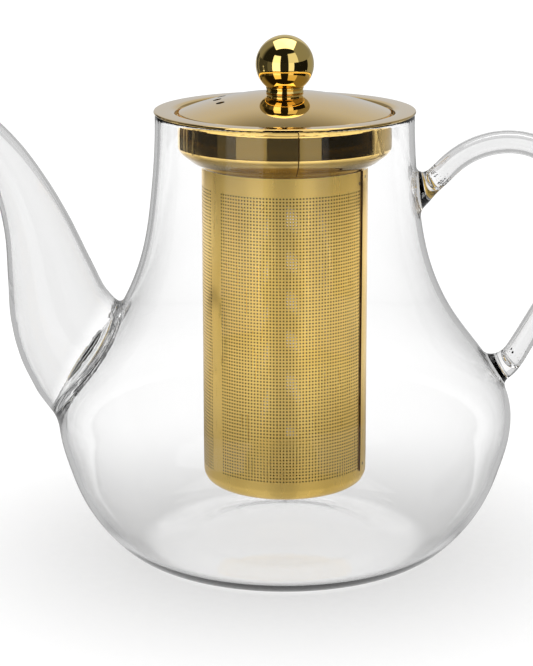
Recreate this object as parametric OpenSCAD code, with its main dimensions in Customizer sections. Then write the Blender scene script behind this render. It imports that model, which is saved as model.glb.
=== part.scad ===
// Glass teapot with a lift-out infuser basket and a domed lid with a ball knob.
// The origin is the centre of the underside. +Z is up, the spout points to -X and the handle to +X.

/* [Glass body] */
// Height of the glass rim above the table
rim_h = 151.4; // [145:0.2:158]
// Thickness of the blown glass wall
wall = 1.9; // [1.5:0.1:2.4]
// Thickness of the glass floor
floor_t = 2.6; // [2:0.1:3.5]
// Outer radius of the flat underside
foot_r = 47.5; // [44:0.5:49]
// Largest outer radius of the bulb
bulb_r = 77.2; // [75:0.2:80]
// Height of the widest part of the bulb
bulb_h = 48; // [46:0.5:50]
// Outer radius of the neck at the rim
neck_r = 43.3; // [43:0.1:45]

/* [Spout] */
// Wall of the spout tube
spout_wall = 1.7; // [1.3:0.1:2]
// Radius of the hole that is pierced through the bulb inside the spout
pierce_r = 10.5; // [8:0.5:12]

/* [Handle] */
// Outer radius of the handle tube
tube_r = 3.85; // [3.4:0.05:4.4]
// Reach of the handle from the pot's axis to the tube's centre
handle_reach = 99; // [97:0.5:102]
// Height of the top of the handle's centreline
handle_top = 141.4; // [139:0.2:143]

/* [Infuser] */
// Thickness of the pressed sheet of the collar
sheet = 0.8; // [0.6:0.1:1]
// Outer radius of the flange that lies on the glass rim
flange_r = 43.7; // [43.2:0.1:44.5]
// Outer radius of the collar's straight wall
collar_r = 35.8; // [35.4:0.1:36.2]
// Depth of the collar's straight wall below the flange
collar_depth = 11.5; // [10:0.5:13]
// Outer radius of the basket
basket_r = 27.85; // [27:0.05:29]
// Thickness of the basket sheet
basket_t = 0.5; // [0.4:0.05:0.8]
// Height of the underside of the basket above the table
basket_z = 23.6; // [18:0.2:30]
// Radius of the rounded edge at the bottom of the basket
basket_edge = 4.5; // [3:0.5:6]

/* [Lid] */
// Outer radius of the lid's dome
lid_r = 35.6; // [35.2:0.1:35.8]
// Rise of the dome from its edge to its top
lid_rise = 6.5; // [5:0.5:8]
// Distance from the lid's axis to the three vent holes
vent_ring = 22.5; // [20:0.5:25]
// Diameter of each vent hole
vent_d = 2.9; // [2:0.1:4]
// Radius of the ball knob
knob_r = 9.7; // [8.5:0.1:11]
// Radius of the neck under the ball
knob_neck_r = 6.3; // [5.5:0.1:7]
// Height of the ball's centre above the flange
knob_h = 15.1; // [14:0.1:17]

/* [Hidden] */
$fn = 96;

// Colours
glass_colour = [0.82, 0.88, 0.88, 0.35];
mirror_gold = [0.86, 0.70, 0.36];
satin_gold = [0.78, 0.63, 0.33];
steel_colour = [0.72, 0.73, 0.75];

// Levels
rest_gap = 0.05;
flange_top = rim_h + rest_gap + sheet;
seat_z = flange_top - 1.5;
dome_t = 0.8;
dome_edge_top = seat_z + dome_t;
collar_end = flange_top - 18.4;
seat_lip = 0.4;
rim_bead = 0.5;
bead_end = -asin((sheet - rim_bead) / rim_bead);
bead_steps = 8;
base_wall_h = 3;
hem_overlap = 2;

// A smooth curve through knots [r, z, heading in degrees], as Bezier pieces.
function on_bezier(p, c, d, q, t) =
    pow(1 - t, 3) * p + 3 * pow(1 - t, 2) * t * c + 3 * (1 - t) * t * t * d + t * t * t * q;
function heading(a) = [cos(a), sin(a)];
function piece(k0, k1, steps, pull) =
    let (p = [k0[0], k0[1]], q = [k1[0], k1[1]], arm = pull * norm(q - p))
    [for (i = [0 : steps - 1])
        on_bezier(p, p + arm * heading(k0[2]), q - arm * heading(k1[2]), q, i / steps)];
function smooth(knots, steps = 5, pull = 0.36) = [
    for (i = [0 : len(knots) - 2]) each piece(knots[i], knots[i + 1], steps, pull),
    [knots[len(knots) - 1][0], knots[len(knots) - 1][1]]
];

// Outline of the outside of the glass, from the underside up to the rim.
body_knots = [
    [foot_r, 0, 0], [61.3, 9, 47.5], [73.4, 30, 72], [bulb_r, bulb_h, 91], [69.7, 66, 126.5],
    [53.3, 90, 115.5], [45.3, 120, 96.6], [neck_r, rim_h - wall / 2, 90]
];
outside = smooth(body_knots);

// The same outline moved inwards along its own normals.
function turned(v) = [-v[1], v[0]] / norm(v);
function inset_point(line, i, d) =
    let (a = line[max(i - 1, 0)], b = line[min(i + 1, len(line) - 1)])
    line[i] + d * turned(b - a);
function inset(line, d) = [for (i = [0 : len(line) - 1]) inset_point(line, i, d)];
inside = [for (p = inset(outside, wall)) if (p[1] > floor_t + 0.4) p];

// Radius of the outside of the glass at height z.
function glass_r(z) = lookup(z, [for (p = outside) [p[1], p[0]]]);

// Spout: centreline stations [x, z, radius] in the XZ plane, from inside the bulb to the lip.
spout_stations = [
    [-54, 50, 21], [-66.5, 67.3, 21.5], [-72.2, 75, 19.6], [-76.3, 84, 17.3], [-79.2, 95.5, 14.8],
    [-83, 111, 11.6], [-88, 124.6, 9.1], [-94.5, 136.8, 7.2], [-103.5, 147, 6.2], [-115, 154.6, 6.3]
];
spout_rings = 26;
spout_sides = 32;
fused_depth = 0.5;
root_search_end = 4.5;
pierce_at = [-68.2, 0, 68];
pierce_tilt = -53;

// Handle: heights and slopes of its tube, all in the XZ plane.
top_bend_r = 28.8;
top_bend_sweep = 44;
back_bend_r = 24;
low_bend_r = 35;
low_bend_sweep = 30;
top_x = handle_reach - back_bend_r;
back_z = handle_top - back_bend_r;
low_z = back_z - 4.4;
top_bend = [top_x, handle_top - top_bend_r];
back_bend = [top_x, back_z];
low_bend = [handle_reach - low_bend_r, low_z];
upper_arm = 15;
lower_arm = 40;
handle_sides = 24;
upper_foot = [44.5, 0, 125.6];
upper_foot_r = 6.9;
upper_slope = 22;
lower_foot = [72.8, 0, 61.4];
lower_foot_r = 7.8;
lower_slope = 50;

// Lid pieces
dome_sphere_r = (lid_r * lid_r + lid_rise * lid_rise) / (2 * lid_rise);
dome_top = dome_edge_top + lid_rise;
dome_centre = dome_top - dome_sphere_r;
skirt_r = 34.3;
skirt_t = 0.8;
skirt_drop = 8;
vent_step = 19;
knob_z = flange_top + knob_h;
knob_flat = knob_z - sqrt(knob_r * knob_r - knob_neck_r * knob_neck_r);
screw_r = 2;
screw_gap = 0.2;
insert_r = 3.4;
insert_h = 8;
washer_t = 1;
washer_r = 6.5;
washer_gap = 0.21;
screw_head_r = 4;
screw_head_h = 2.4;
hex_r = 1.5;
hex_depth = 1.4;
dome_under = dome_top - dome_t;
washer_top = dome_under - washer_gap;
head_top = washer_top - washer_t;
fine = 720;

// Glass

module glass_envelope() {
    rotate_extrude() polygon(concat([[0, 0]], outside, [[0, rim_h - wall / 2]]));
}

module glass_body() {
    color(glass_colour)
    difference() {
        rotate_extrude() {
            polygon(concat([[0, 0]], outside, [for (i = [len(inside) - 1 : -1 : 0]) inside[i]],
                [[inside[0][0] - 4, floor_t], [0, floor_t]]));
            translate([neck_r - wall / 2, rim_h - wall / 2]) circle(d = wall, $fn = 16);
        }
        translate(pierce_at) rotate([0, pierce_tilt, 0])
            cylinder(r = pierce_r, h = 24, center = true);
    }
}

// A closed tube through rings of points, each ring with the same number of sides.
module tube(rings) {
    n = len(rings[0]);
    last = len(rings) - 1;
    polyhedron(
        points = [for (ring = rings) each ring],
        faces = concat(
            [[for (k = [0 : n - 1]) k]],
            [for (i = [0 : last - 1]) for (k = [0 : n - 1])
                [i * n + k, (i + 1) * n + k, i * n + (k + 1) % n]],
            [for (i = [0 : last - 1]) for (k = [0 : n - 1])
                [(i + 1) * n + k, (i + 1) * n + (k + 1) % n, i * n + (k + 1) % n]],
            [[for (k = [n - 1 : -1 : 0]) last * n + k]]));
}

// A ring of n points about the point [x, z], square to the direction way, both in the XZ plane.
function ring_at(here, way, r, n) =
    let (across = turned(way))
    [for (k = [0 : n - 1]) let (a = 360 * k / n)
        [here[0] + r * cos(a) * across[0], -r * sin(a), here[1] + r * cos(a) * across[1]]];

// A point of the spout's centreline and its radius, smooth through the stations.
function station(i) = spout_stations[max(0, min(len(spout_stations) - 1, i))];
function along(t) =
    let (i = min(floor(t), len(spout_stations) - 2), f = t - i,
        a = station(i - 1), b = station(i), c = station(i + 1), d = station(i + 2))
    0.5 * ((2 * b) + (c - a) * f + (2 * a - 5 * b + 4 * c - d) * f * f
        + (3 * b - a - 3 * c + d) * f * f * f);
function way_at(t) =
    let (ahead = along(min(t + 0.05, len(spout_stations) - 1)), behind = along(max(t - 0.05, 0)))
    [ahead[0] - behind[0], ahead[1] - behind[1]];

function spout_point(t, a, shrink) =
    let (here = along(t), across = turned(way_at(t)), r = here[2] - shrink)
    [here[0] + r * cos(a) * across[0], -r * sin(a), here[1] + r * cos(a) * across[1]];

// Where the line of points at angle a comes out of the bulb, found by halving, a little inside the wall.
function clear_of_bulb(p) = norm([p[0], p[1]]) > glass_r(p[2]) - fused_depth;
function root_t(a, shrink, low = 0, high = root_search_end, tries = 20) =
    let (mid = (low + high) / 2)
    tries == 0 ? mid
    : clear_of_bulb(spout_point(mid, a, shrink)) ? root_t(a, shrink, low, mid, tries - 1)
    : root_t(a, shrink, mid, high, tries - 1);

// Rings from the bulb to the lip, all with their points at the same angles.
function spout_rings_at(shrink) =
    let (lip = len(spout_stations) - 1, angles = [for (k = [0 : spout_sides - 1]) 360 * k / spout_sides],
        roots = [for (a = angles) root_t(a, shrink)])
    [for (i = [0 : spout_rings]) [for (k = [0 : spout_sides - 1])
        spout_point(roots[k] + (lip - roots[k]) * i / spout_rings, angles[k], shrink)]];

// An open pipe between two skins of rings with the same counts.
module pipe(outer, inner) {
    n = len(outer[0]);
    last = len(outer) - 1;
    half = n * (last + 1);
    quads = concat(
        [for (i = [0 : last - 1]) for (k = [0 : n - 1])
            [i * n + k, (i + 1) * n + k, (i + 1) * n + (k + 1) % n, i * n + (k + 1) % n]],
        [for (i = [0 : last - 1]) for (k = [0 : n - 1])
            [half + i * n + k, half + i * n + (k + 1) % n, half + (i + 1) * n + (k + 1) % n,
                half + (i + 1) * n + k]],
        [for (k = [0 : n - 1]) [k, (k + 1) % n, half + (k + 1) % n, half + k]],
        [for (k = [0 : n - 1]) [last * n + (k + 1) % n, last * n + k, half + last * n + k,
            half + last * n + (k + 1) % n]]);
    polyhedron(
        points = concat([for (ring = outer) each ring], [for (ring = inner) each ring]),
        faces = [for (q = quads) each [[q[0], q[1], q[2]], [q[0], q[2], q[3]]]]);
}

module spout() {
    color(glass_colour) pipe(spout_rings_at(0), spout_rings_at(spout_wall));
}

// The handle's centreline as [x, z, heading], from the neck over the top and down to the bulb.
function arc(centre, r, from, to, steps) = [for (i = [0 : steps]) let (a = from + (to - from) * i / steps)
    [centre[0] + r * cos(a), centre[1] + r * sin(a), a - 90]];
upper_end = top_bend + top_bend_r * heading(90 + top_bend_sweep) - upper_arm * heading(top_bend_sweep);
lower_end = low_bend + low_bend_r * heading(-low_bend_sweep) - lower_arm * heading(90 - low_bend_sweep);
handle_line = concat(
    [[upper_end[0], upper_end[1], top_bend_sweep]],
    arc(top_bend, top_bend_r, 90 + top_bend_sweep, 95, 5),
    arc(back_bend, back_bend_r, 90, 0, 12),
    arc(low_bend, low_bend_r, 0, -low_bend_sweep, 4),
    [[lower_end[0], lower_end[1], -90 - low_bend_sweep]]);

// Flared foot where the tube is fused on, wide at the glass.
module foot(at, slope, wide) {
    translate(at) rotate([0, 90 - slope, 0]) rotate_extrude($fn = handle_sides)
        polygon([[0, -3], [wide, -3], [wide, 0.5], [wide - 1.6, 2.2], [tube_r + 0.9, 4.6],
            [tube_r, 8], [0, 8]]);
}

module handle() {
    color(glass_colour)
    difference() {
        union() {
            tube([for (p = handle_line) ring_at(p, heading(p[2]), tube_r, handle_sides)]);
            foot(upper_foot, upper_slope, upper_foot_r);
            foot(lower_foot, lower_slope, lower_foot_r);
        }
        glass_envelope();
    }
}

// Infuser

// Outside of the collar below the lid's seat: straight wall, funnel, and the hem round the basket.
wall_and_funnel = smooth([
    [collar_r, seat_z - sheet, -90], [collar_r, flange_top - collar_depth, -90],
    [collar_r - 3.2, flange_top - 15.6, -140], [basket_r + 1.6, collar_end + 1, -165]], 4);

module infuser_collar() {
    rim = [flange_r - rim_bead, flange_top - rim_bead];
    color(mirror_gold)
    rotate_extrude() polygon(concat(
        [[collar_r + seat_lip + sheet, flange_top - sheet], [collar_r + seat_lip + sheet, seat_z - sheet]],
        wall_and_funnel,
        [[basket_r + 0.6, collar_end + 0.4], [basket_r + 0.6, collar_end], [basket_r, collar_end]],
        [for (i = [len(wall_and_funnel) - 1 : -1 : 1]) inset_point(wall_and_funnel, i, -sheet)],
        [[collar_r - sheet, seat_z], [collar_r + seat_lip, seat_z], [collar_r + seat_lip, flange_top - 0.5],
            [collar_r + seat_lip + 0.5, flange_top]],
        [for (i = [0 : bead_steps]) rim + rim_bead * heading(90 + (bead_end - 90) * i / bead_steps)]));
}

module basket_wall() {
    color(satin_gold)
    rotate_extrude()
        translate([basket_r - basket_t, basket_z + basket_edge + base_wall_h])
            square([basket_t, collar_end + hem_overlap - basket_z - basket_edge - base_wall_h]);
}

module basket_base() {
    color(satin_gold)
    rotate_extrude() {
        translate([0, basket_z]) square([basket_r - basket_edge, basket_t]);
        translate([basket_r - basket_t, basket_z + basket_edge]) square([basket_t, base_wall_h]);
        translate([basket_r - basket_edge, basket_z + basket_edge])
        intersection() {
            difference() {
                circle(r = basket_edge, $fn = 64);
                circle(r = basket_edge - basket_t, $fn = 64);
            }
            translate([0, -basket_edge]) square(basket_edge);
        }
    }
}

// Lid

module cylinder_between(r, bottom, top) {
    translate([0, 0, bottom]) cylinder(r = r, h = top - bottom);
}

module lid_dome() {
    color(mirror_gold)
    difference() {
        rotate_extrude()
        intersection() {
            translate([0, dome_centre])
            difference() {
                circle(r = dome_sphere_r, $fn = fine);
                circle(r = dome_sphere_r - dome_t, $fn = fine);
            }
            translate([0, seat_z]) square([lid_r, 20]);
        }
        translate([0, 0, dome_under - 1]) cylinder(r = screw_r + screw_gap, h = 4);
        for (turn = [-vent_step, 0, vent_step])
            rotate([0, 0, 180 + turn]) translate([vent_ring, 0, seat_z - 1])
                cylinder(d = vent_d, h = 10, $fn = 32);
    }
}

module lid_skirt() {
    color(mirror_gold)
    rotate_extrude() intersection() {
        translate([skirt_r - skirt_t, seat_z - skirt_drop]) square([skirt_t, skirt_drop + 2]);
        translate([0, dome_centre]) circle(r = dome_sphere_r - dome_t, $fn = fine);
    }
}

module knob_ball() {
    color(mirror_gold)
    rotate_extrude()
    difference() {
        translate([0, knob_z]) intersection() {
            circle(r = knob_r, $fn = 128);
            translate([0, -knob_r]) square(2 * knob_r);
        }
        translate([0, knob_flat - knob_r]) square([knob_r, knob_r]);
        translate([0, knob_flat - 1]) square([insert_r, insert_h + 1.6]);
    }
}

module knob_neck() {
    color(mirror_gold)
    difference() {
        cylinder_between(knob_neck_r, dome_top - 0.4, knob_flat);
        cylinder_between(screw_r + screw_gap, dome_top - 1, knob_flat + 1);
        rotate_extrude() intersection() {
            translate([0, dome_centre]) circle(r = dome_sphere_r, $fn = fine);
            square([knob_neck_r + 1, dome_top + 1]);
        }
    }
}

module knob_insert() {
    color(steel_colour)
    difference() {
        cylinder_between(insert_r, knob_flat, knob_flat + insert_h);
        cylinder_between(screw_r, knob_flat - 1, knob_flat + insert_h + 1);
    }
}

module knob_washer() {
    color(steel_colour)
    difference() {
        cylinder_between(washer_r, head_top, washer_top);
        cylinder_between(screw_r + screw_gap, dome_under - 3, dome_under + 1);
    }
}

module knob_screw() {
    color(steel_colour)
    difference() {
        union() {
            cylinder_between(screw_head_r, head_top - screw_head_h, head_top);
            cylinder_between(screw_r, head_top - 1, knob_flat + insert_h - 1);
        }
        translate([0, 0, head_top - screw_head_h - 1]) cylinder(r = hex_r, h = hex_depth + 1, $fn = 6);
    }
}

glass_body();
spout();
handle();
infuser_collar();
basket_wall();
basket_base();
lid_dome();
lid_skirt();
knob_ball();
knob_neck();
knob_insert();
knob_screw();
knob_washer();
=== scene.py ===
"""A glass teapot with a lift-out infuser and a domed lid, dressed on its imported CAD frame."""
import math

import bmesh
import bpy
import numpy as np
from mathutils import Matrix, Vector


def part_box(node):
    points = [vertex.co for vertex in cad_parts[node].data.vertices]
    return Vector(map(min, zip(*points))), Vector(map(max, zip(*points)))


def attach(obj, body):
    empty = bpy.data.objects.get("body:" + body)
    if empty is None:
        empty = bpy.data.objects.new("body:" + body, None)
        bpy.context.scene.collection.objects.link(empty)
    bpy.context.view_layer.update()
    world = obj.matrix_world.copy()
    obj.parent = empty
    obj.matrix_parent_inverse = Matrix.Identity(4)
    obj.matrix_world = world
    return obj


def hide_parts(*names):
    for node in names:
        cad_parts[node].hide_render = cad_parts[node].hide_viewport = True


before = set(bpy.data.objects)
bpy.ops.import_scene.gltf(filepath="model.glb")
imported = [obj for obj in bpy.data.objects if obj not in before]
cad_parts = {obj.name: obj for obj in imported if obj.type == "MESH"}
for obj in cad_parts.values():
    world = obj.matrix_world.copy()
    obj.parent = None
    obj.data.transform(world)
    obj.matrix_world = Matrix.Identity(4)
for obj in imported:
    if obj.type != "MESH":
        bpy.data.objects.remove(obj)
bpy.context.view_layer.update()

MM = 0.001
FRONT = -90.0  # the direction of -Y, in degrees from +X


def corners(node):
    """The lowest and highest corner of a CAD node, in millimetres."""
    low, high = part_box(node)
    return np.array(low) / MM, np.array(high) / MM


# ---- sizes, in millimetres, most of them from the frame ----
GLASS_HIGH = corners("glass_body")[1]
COLLAR_LOW, COLLAR_HIGH = corners("infuser_collar")
WALL_HIGH = corners("basket_wall")[1]
BASE_LOW = corners("basket_base")[0]
DOME_LOW, DOME_HIGH = corners("lid_dome")
SKIRT_LOW, SKIRT_HIGH = corners("lid_skirt")
BALL_LOW, BALL_HIGH = corners("knob_ball")
NECK_HIGH = corners("knob_neck")[1]

RIM = GLASS_HIGH[2]
BULB_R = GLASS_HIGH[0]
FLANGE_TOP = COLLAR_HIGH[2]
FLANGE_R = COLLAR_HIGH[0]
COLLAR_END = COLLAR_LOW[2]
SHEET = 0.8
SEAT = DOME_LOW[2]
BASKET_R = WALL_HIGH[0]
BASKET_BOTTOM = BASE_LOW[2]
LID_R = DOME_HIGH[0] - 0.12
DOME_TOP = DOME_HIGH[2]
DOME_T = 0.8
LID_RISE = DOME_TOP - SEAT - DOME_T
DOME_SPHERE = (LID_R ** 2 + LID_RISE ** 2) / (2 * LID_RISE)
DOME_CENTRE = DOME_TOP - DOME_SPHERE
BALL_R = BALL_HIGH[0]
BALL_Z = BALL_HIGH[2] - BALL_R
NECK_R = NECK_HIGH[0]


# ---- outlines: lines of (radius or x, z) points ----

def unit(degrees):
    return np.array([math.cos(math.radians(degrees)), math.sin(math.radians(degrees))])


def full_turn(count):
    """Evenly spaced angles of one turn, in radians."""
    return np.linspace(0, 2 * np.pi, count, endpoint=False)


def arc(centre, radius, start, end, count):
    """Points on a circle from one angle to another, in degrees."""
    return [np.array(centre) + radius * unit(a) for a in np.linspace(start, end, count)]


def bezier_line(knots, steps, pull=0.36):
    """A smooth line through knots (x, z, heading in degrees)."""
    line = []
    for (x0, z0, a0), (x1, z1, a1) in zip(knots, knots[1:]):
        p, q = np.array([x0, z0], float), np.array([x1, z1], float)
        arm = pull * np.linalg.norm(q - p)
        c, d = p + arm * unit(a0), q - arm * unit(a1)
        for t in np.arange(steps) / steps:
            line.append((1 - t) ** 3 * p + 3 * (1 - t) ** 2 * t * c + 3 * (1 - t) * t * t * d
                        + t ** 3 * q)
    return np.array(line + [np.array(knots[-1][:2], float)])


def catmull_line(stations, steps):
    """A smooth line through stations of any width."""
    s = np.array(stations, float)
    s = np.concatenate([s[:1], s, s[-1:]])
    line = []
    for a, b, c, d in zip(s, s[1:], s[2:], s[3:]):
        for f in np.arange(steps) / steps:
            line.append(0.5 * (2 * b + (c - a) * f + (2 * a - 5 * b + 4 * c - d) * f ** 2
                               + (3 * b - a - 3 * c + d) * f ** 3))
    return np.array(line + [s[-1]])


def lengths_along(line):
    return np.r_[0, np.cumsum(np.linalg.norm(np.diff(line, axis=0), axis=1))]


def eased_line(line, spacing, rounds=6):
    """The line with even spacing and its corners eased."""
    for _ in range(rounds):
        s = lengths_along(line)
        t = np.linspace(0, s[-1], int(s[-1] / spacing) + 1)
        line = np.stack([np.interp(t, s, line[:, i]) for i in range(2)], 1)
        line[1:-1] = 0.25 * line[:-2] + 0.5 * line[1:-1] + 0.25 * line[2:]
    return line


def moved_sideways(line, by):
    """The line moved along its own normals, to the left of its direction."""
    way = np.gradient(line, axis=0)
    way /= np.linalg.norm(way, axis=1)[:, None]
    return line + by * np.stack([-way[:, 1], way[:, 0]], 1)


# ---- the blown glass, as a smooth field that is negative inside the glass ----

WALL = 1.9
FLOOR = 2.8
PUSH_UP = 1.3  # how far the middle of the base is pushed up
RIM_R = 43.3  # the outside of the rim
# The outside of the bulb: radius, height, heading in degrees.
BODY_KNOTS = [(44.5, 0, 1), (61.3, 9, 47.5), (73.4, 30, 72), (BULB_R, 48, 91), (69.7, 66, 126.5),
              (53.3, 90, 115.5), (45.3, 120, 96.6), (RIM_R, RIM - WALL / 2, 90)]
# The spout's centreline and outer radius: x, z, radius.
SPOUT_STATIONS = [(-54, 50, 21), (-66.5, 67.3, 21.5), (-72.2, 75, 19.6), (-76.3, 84, 17.3),
                  (-79.2, 95.5, 14.8), (-83, 111, 11.6), (-88, 124.6, 9.1), (-94.5, 136.8, 7.2),
                  (-103.5, 147, 6.2), (-115, 154.6, 6.3)]
SPOUT_WALL = 1.7
# The hole from the bulb into the spout: its middle in x and z, its direction in degrees, its radius.
HOLE_AT = (-68.2, 68)
HOLE_SLOPE = 143
HOLE_R = 10.5
TUBE_R = 3.85
TUBE_BORE = 2.5
BORE_START = 9.4  # along the handle from its upper end
BORE_END = 9.0  # along the handle from its lower end
SUNK = 0.9  # how deep spout and handle reach into the bulb's wall
CRISP = 0.6  # roundness of small corners
HANDLE_START = [(41.5, 124.4), (44.5, 125.3), (48, 126.8), (51, 129.0)]
HANDLE_END = [(76.7, 65.6), (74.9, 64.1), (72.6, 63.0), (69.5, 62.2)]


def nearest(points, line, chunk=20000):
    """For 2D points: the distance to an open line, the place along it and the side of it."""
    start, edge = line[:-1], np.diff(line, axis=0)
    square = (edge * edge).sum(1)
    found = []
    for s in range(0, len(points), chunk):
        away = points[s:s + chunk, None, :] - start[None]
        t = np.clip((away * edge).sum(2) / square, 0, 1)
        off = away - t[..., None] * edge
        k = (off * off).sum(2).argmin(1)
        i = np.arange(len(k))
        side = edge[k, 0] * off[i, k, 1] - edge[k, 1] * off[i, k, 0]
        found.append(np.stack([np.linalg.norm(off[i, k], axis=1), k + t[i, k], side]))
    return np.concatenate(found, 1)


def cubic(f):
    """B-spline weights: twice differentiable, so that normals have no steps."""
    return ((1 - f) ** 3 / 6, (3 * f ** 3 - 6 * f ** 2 + 4) / 6,
            (-3 * f ** 3 + 3 * f ** 2 + 3 * f + 1) / 6, f ** 3 / 6)


class Table:
    """A function of two coordinates, kept on a grid and read with smooth cubic weights."""

    def __init__(self, low, high, step, function):
        self.low, self.step = np.array(low, float), step
        self.size = np.ceil((np.array(high) - low) / step).astype(int) + 4
        axes = [self.low[i] + step * (np.arange(self.size[i]) - 1) for i in range(2)]
        points = np.stack(np.meshgrid(*axes, indexing="ij"), -1).reshape(-1, 2)
        self.values = function(points).reshape(self.size)

    def __call__(self, u, v):
        gu = np.clip((u - self.low[0]) / self.step + 1, 1, self.size[0] - 2.001)
        gv = np.clip((v - self.low[1]) / self.step + 1, 1, self.size[1] - 2.001)
        iu, iv = gu.astype(int), gv.astype(int)
        wu, wv = cubic(gu - iu), cubic(gv - iv)
        return sum(wu[i] * wv[j] * self.values[iu + i - 1, iv + j - 1] for i in range(4) for j in range(4))


def smooth_min(a, b, k):
    h = np.clip(0.5 + 0.5 * (b - a) / k, 0, 1)
    return b + (a - b) * h - k * h * (1 - h)


def smooth_max(a, b, k):
    return -smooth_min(-a, -b, k)


def body_lines():
    """The outside of the bulb from the axis to the rim, and the whole section of its wall."""
    outer = bezier_line([(0, PUSH_UP, 0), (30, PUSH_UP - 0.2, -2)] + BODY_KNOTS, 60)
    inner = moved_sideways(outer, WALL)
    foot_top = 12
    inner = inner[inner[:, 1] > foot_top][::-1]
    last = inner[-1] - inner[-2]
    foot = bezier_line([(*inner[-1], math.degrees(math.atan2(last[1], last[0]))),
                        (47.5, FLOOR + 0.2, 188), (30, FLOOR + PUSH_UP - 0.3, 179),
                        (0, FLOOR + PUSH_UP, 180)], 60)
    rim = arc((RIM_R - WALL / 2, RIM - WALL / 2), WALL / 2, 0, 180, 25)[1:-1]
    return outer, np.concatenate([outer, rim, inner, foot[1:]])


def handle_line():
    """The handle's centreline from the neck over the top and down to the bulb."""
    top = arc((75, 112.6), 28.8, 134, 95, 24)
    back = arc((75, 117.4), 24, 90, 0, 40)
    low = arc((64, 113), 35, 0, -30, 20)
    arm = [low[-1] + s * unit(-120) for s in np.linspace(3, 32, 20)]
    return np.array(HANDLE_START + top + back + low + arm + HANDLE_END)


class Tube:
    """The distance from a bent tube's centreline and its radius there, from tables in the XZ plane."""

    def __init__(self, line, radius, low, high, step=0.5):
        self.square = Table(low, high, step, lambda p: nearest(p, line)[0] ** 2)
        self.radius = Table(low, high, step,
                            lambda p: np.interp(nearest(p, line)[1], np.arange(len(line)), radius))

    def __call__(self, x, y, z):
        return np.sqrt(np.maximum(self.square(x, z), 0) + y * y), self.radius(x, z)


def signed(points, line):
    """The distance to the line, negative on its left."""
    mirrored = np.stack([np.abs(points[:, 0]), points[:, 1]], 1)
    distance, _, side = nearest(mirrored, line)
    return np.where(side > 0, -distance, distance)


class Glass:
    """The bulb with its spout and its hollow handle fused on, in millimetres."""

    def __init__(self):
        outer, section = body_lines()
        self.shell = Table((-3, -4), (86, 158), 0.4, lambda p: signed(p, section))
        high_above = [RIM_R, 170]
        self.envelope = Table((-3, -4), (130, 162), 0.6, lambda p: signed(p, np.r_[outer, [high_above]]))
        spout = catmull_line(SPOUT_STATIONS, 30)
        self.lip = spout[-1, :2]
        self.lip_way = self.lip - spout[-3, :2]
        self.lip_way /= np.linalg.norm(self.lip_way)
        spout = np.r_[spout, [[*(self.lip + 8 * self.lip_way), SPOUT_STATIONS[-1][2]]]]
        self.spout = Tube(spout[:, :2], spout[:, 2], (-128, 30), (-36, 166))
        line = eased_line(eased_line(handle_line(), 1.2), 0.4, 1)
        s = lengths_along(line)
        left = s[-1] - s
        flare = TUBE_R + 3.0 * np.exp(-(s / 6.2) ** 3) + 1.5 * np.exp(-(left / 7.5) ** 2)
        self.handle = Tube(line, flare, (36, 44), (106, 148))
        open_part = (s > BORE_START) & (left > BORE_END)
        bore = (TUBE_BORE + 0.6 * np.exp(-((s - BORE_START) / 5) ** 2)
                + 0.5 * np.exp(-((left - BORE_END) / 5) ** 2))
        self.bore = Tube(line[open_part], bore[open_part], (36, 44), (106, 148))

    def with_spout(self, wall, x, y, z, r):
        way = unit(HOLE_SLOPE)
        across = (x - HOLE_AT[0]) * way[1] - (z - HOLE_AT[1]) * way[0]
        wall = smooth_max(wall, HOLE_R - np.sqrt(across ** 2 + y ** 2), 1.4)
        distance, wide = self.spout(x, y, z)
        pipe = smooth_max(distance - wide, -(self.envelope(r, z) + SUNK), CRISP)
        pipe = smooth_max(pipe, wide - SPOUT_WALL - distance, CRISP)
        past_lip = (x - self.lip[0]) * self.lip_way[0] + (z - self.lip[1]) * self.lip_way[1]
        return smooth_min(wall, smooth_max(pipe, past_lip, 1.2), 2.4)

    def with_handle(self, wall, x, y, z, r):
        distance, wide = self.handle(x, y, z)
        rod = smooth_max(distance - wide, -(self.envelope(r, z) + SUNK), CRISP)
        distance, wide = self.bore(x, y, z)
        return smooth_max(smooth_min(wall, rod, 2.6), wide - distance, 0.4)

    def __call__(self, x, y, z):
        r = np.hypot(x, y)
        field = self.shell(r, z)
        for part, here in ((self.with_spout, (x < -38) & (z > 34)),
                           (self.with_handle, (x > 38) & (z > 46) & (z < 147))):
            if here.any():
                field[here] = part(field[here], x[here], y[here], z[here], r[here])
        return field

    def slope(self, points, reach=0.25):
        steps = reach * np.eye(3)
        return np.stack([self(*(points + e).T) - self(*(points - e).T) for e in steps], 1) / (2 * reach)

    def onto_surface(self, points, rounds=3):
        for _ in range(rounds):
            slope = self.slope(points)
            step = np.clip(-self(*points.T) / np.maximum((slope ** 2).sum(1), 0.3), -0.5, 0.5)
            points = points + step[:, None] * slope
        return points


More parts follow.
